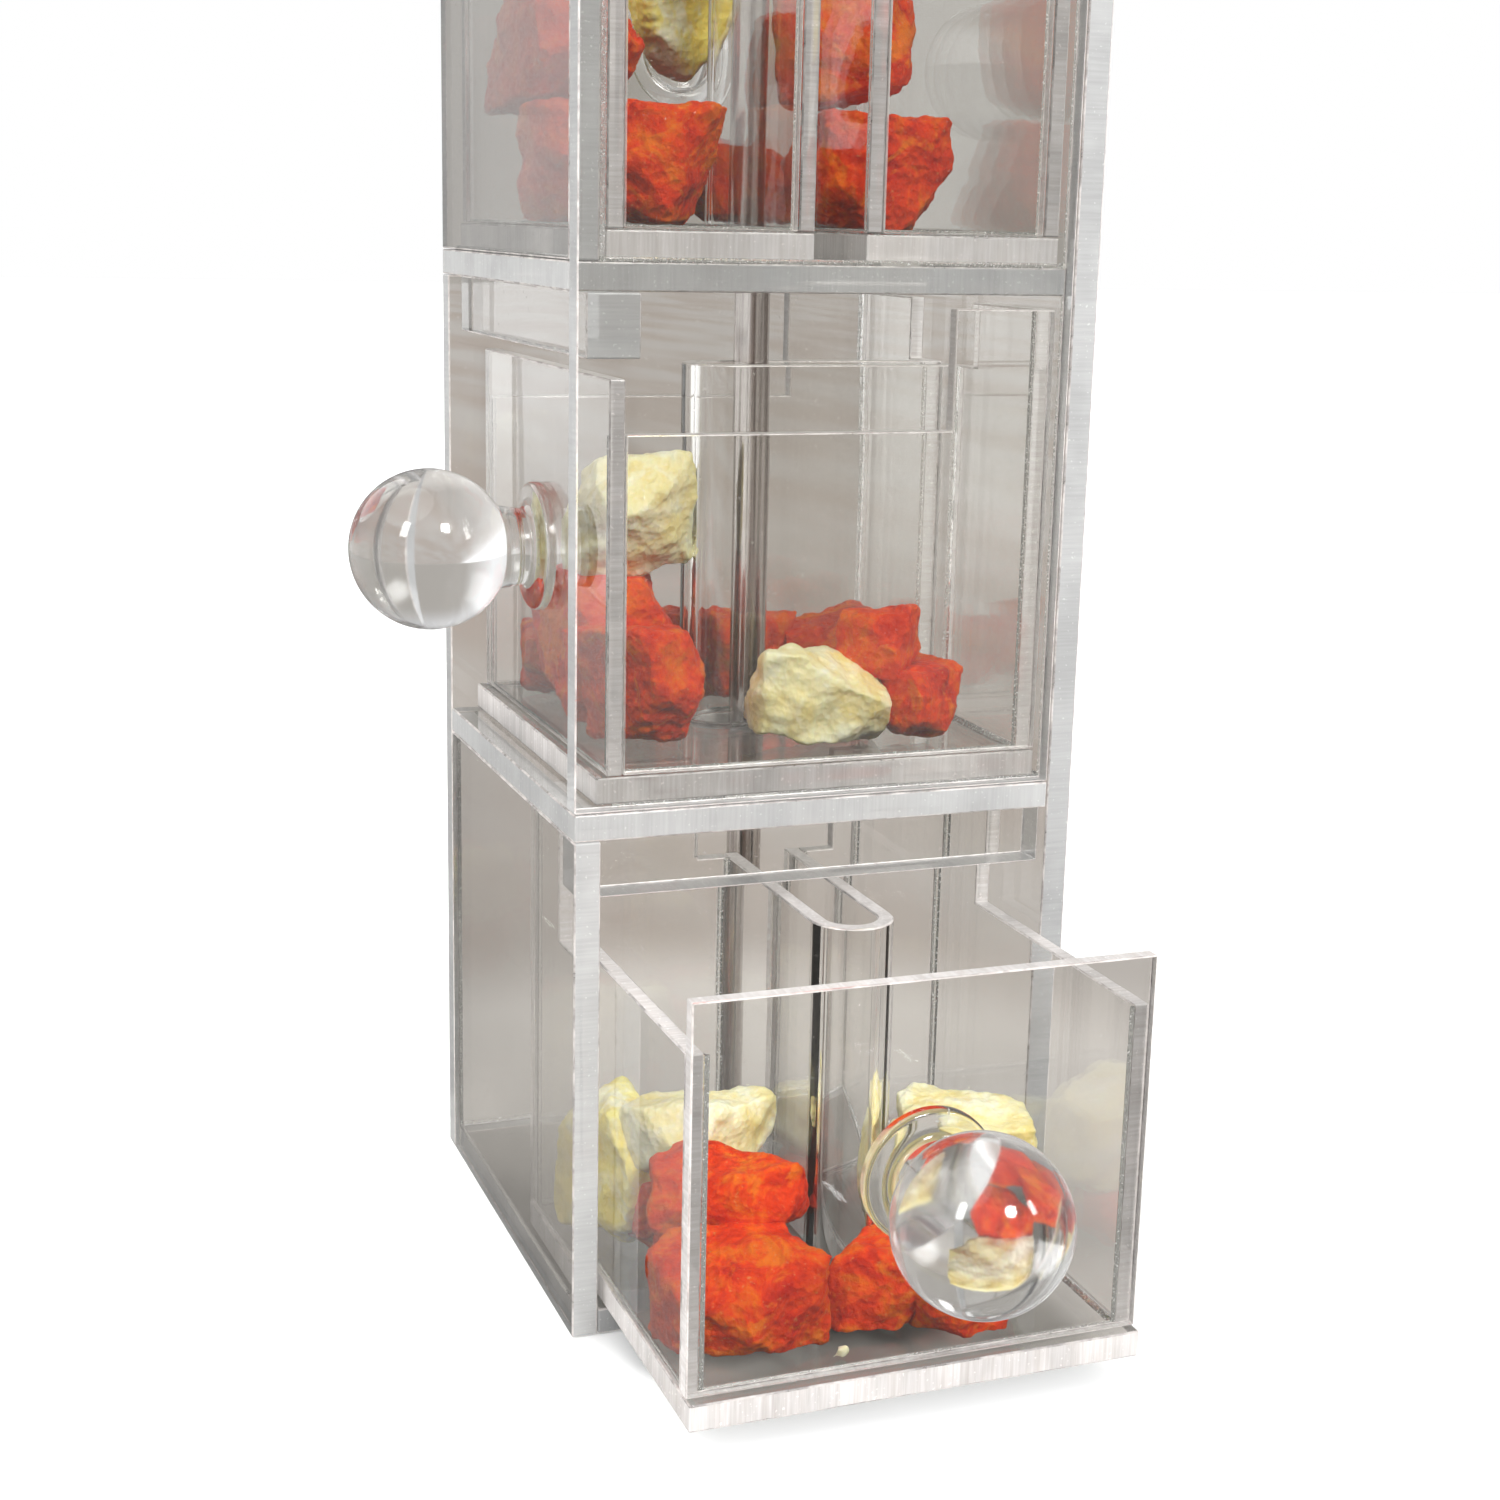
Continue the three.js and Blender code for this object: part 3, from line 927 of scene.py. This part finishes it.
# Kind, size and middle in the drawer's own frame (mm), turn about Z and lean about X (degrees)
FRUIT = {
    "drawer_1": [
        (SLAB, (11, 22, 29), (-33, 20, 20.5), 12, 6),
        (PAPAYA, (24, 20, 17), (-21, 14, 14), -10, 0),
        (PINEAPPLE, (25, 19, 17), (-21, 12, 30), 25, -8),
        (PAPAYA, (27, 18, 16), (-23, -8, 25), -18, 10),
        (PAPAYA, (25, 20, 18), (-27, -25, 14.5), 8, -4),
        (PAPAYA, (24, 16, 16), (0, -25, 13.5), -12, 5),
        (PAPAYA, (23, 12, 12), (14, -33, 11), 8, 0),
        (PAPAYA, (18, 17, 13), (20, -8, 12), -15, 0),
        (PINEAPPLE, (26, 20, 19), (26, -4, 27), -15, 8),
        (PINEAPPLE, (20, 17, 20), (27, 14, 15), 40, -5),
        (PINEAPPLE, (4, 3, 3), (-13, -36.5, 6.5), 20, 0),
    ],
    "drawer_2": [
        (PAPAYA, (28, 19, 30), (-8, -28, 20.5), 6, -5),
        (PAPAYA, (22, 18, 15), (-27, -28, 13), -14, 3),
        (PAPAYA, (21, 18, 24), (20, -26, 17.5), 16, 6),
        (PINEAPPLE, (20, 20, 25), (-2, -23, 47), 22, 8),
        (PAPAYA, (24, 24, 19), (-24, 2, 15), 35, 0),
        (PAPAYA, (22, 20, 16), (-25, 27, 13), -20, 5),
        (PINEAPPLE, (20, 27, 18), (26, 5, 14.5), -8, -5),
        (PAPAYA, (18, 18, 15), (27, 25, 13), 28, 0),
        (PAPAYA, (15, 14, 14), (26, 17, 25), 50, 10),
    ],
    "drawer_3": [
        (PAPAYA, (25, 27, 23), (25, 4, 17), 10, 0),
        (PAPAYA, (17, 39, 19), (30.5, -16, 38), 0, 3),
        (SLAB, (25, 12, 27), (6, -29, 47), 12, -8),
        (PAPAYA, (25, 18, 17), (-9, -28, 14), -16, 0),
        (PAPAYA, (23, 23, 24), (-22, 3, 17.5), 14, -4),
        (PAPAYA, (21, 19, 22), (-21, -2, 40), 40, 8),
        (PAPAYA, (20, 18, 16), (17, -28, 14), 30, 0),
    ],
    "drawer_4": [
        (PAPAYA, (26, 21, 19), (-24, -22, 15), 12, 0),
        (PINEAPPLE, (24, 19, 18), (4, -28, 14.5), -20, 4),
        (PAPAYA, (22, 20, 18), (26, -20, 14.5), 30, 0),
        (PAPAYA, (23, 22, 18), (-25, 8, 14.5), -12, 5),
        (SLAB, (22, 12, 26), (26, 8, 19), 15, -8),
        (PINEAPPLE, (21, 20, 17), (-22, -10, 32), 35, 6),
        (PAPAYA, (20, 18, 16), (-25, 28, 13.5), 5, 0),
    ],
}


def fill_drawer(body, finishes, crags):
    for number, (kind, size, middle, turn, lean) in enumerate(FRUIT[body], 1):
        seed = DRAWERS.index(body) * SEEDS_PER_DRAWER + number
        spin = Matrix.Rotation(math.radians(turn), 4, "Z") @ Matrix.Rotation(math.radians(lean), 4, "X")
        place = drawer_frame(body) @ Matrix.Translation(Vector(middle) * MM) @ spin
        piece = chunk(f"{body}_{kind}_{number}", [side * MM for side in size], place, seed, crags)
        give_finishes(piece, finishes[kind])
        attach(piece, body)


# ---- Everything ----

def dress_sheets(corner, drawer_face, routed):
    """Every flat sheet of the casing and of the drawers."""
    casing_face = polished_sheet("casing_sheet_face", CASING_TINT)
    sawn = [sawn_edge(axis) for axis in range(3)]
    for body, nodes in frame["record"]["behaviour"]["bodies"].items():
        for node in nodes:
            if node.endswith(("_knob", "_channel")) or node in HARDWARE:
                continue
            if body == "casing":
                dress_sheet(node, body, casing_face, sawn, corner)
            else:
                dress_sheet(node, body, drawer_face, routed, corner)


def make_hardware():
    turn_rod(bright_steel("drawn_steel", grain=(1, 1, 0.01)))
    turned_steel = bright_steel("turned_steel", grain=(1, 1, 1))
    stamp_washer(turned_steel)
    forge_cap_nut(turned_steel)


def make_dispenser():
    drawer_face = polished_sheet("drawer_sheet_face", DRAWER_TINT)
    routed = [routed_edge(axis) for axis in range(3)]
    corner = painted_glint_corner("painted_glint_corner")
    dress_sheets(corner, drawer_face, routed)
    make_hardware()
    glue = cement("solvent_cement")
    ball = turned_acrylic("turned_acrylic")
    bonded = bonded_face("bonded_face")
    fruit = {
        PAPAYA: candied_papaya("candied_papaya"),
        PINEAPPLE: candied_pineapple("candied_pineapple", deep=(0.84, 0.68, 0.25), pale=(0.95, 0.88, 0.52)),
        SLAB: candied_pineapple("candied_pineapple_core", deep=(1.0, 0.72, 0.08), pale=(1.0, 0.86, 0.22)),
    }
    crags = fruit_crags()
    for body, below, above in zip(DRAWERS, PLATES, PLATES[1:]):
        across = facing(body) @ Vector((1, 0, 0))
        end = routed[1] if abs(across.y) > 0.5 else routed[0]
        bend_channel(body, drawer_face, routed[2], end, corner)
        turn_knob(body, ball, bonded)
        cement_drawer(body, glue)
        cement_tier(body, below, above, glue)
        fill_drawer(body, fruit, crags)


set_up_camera()
light_the_studio()
lay_floor()
make_dispenser()
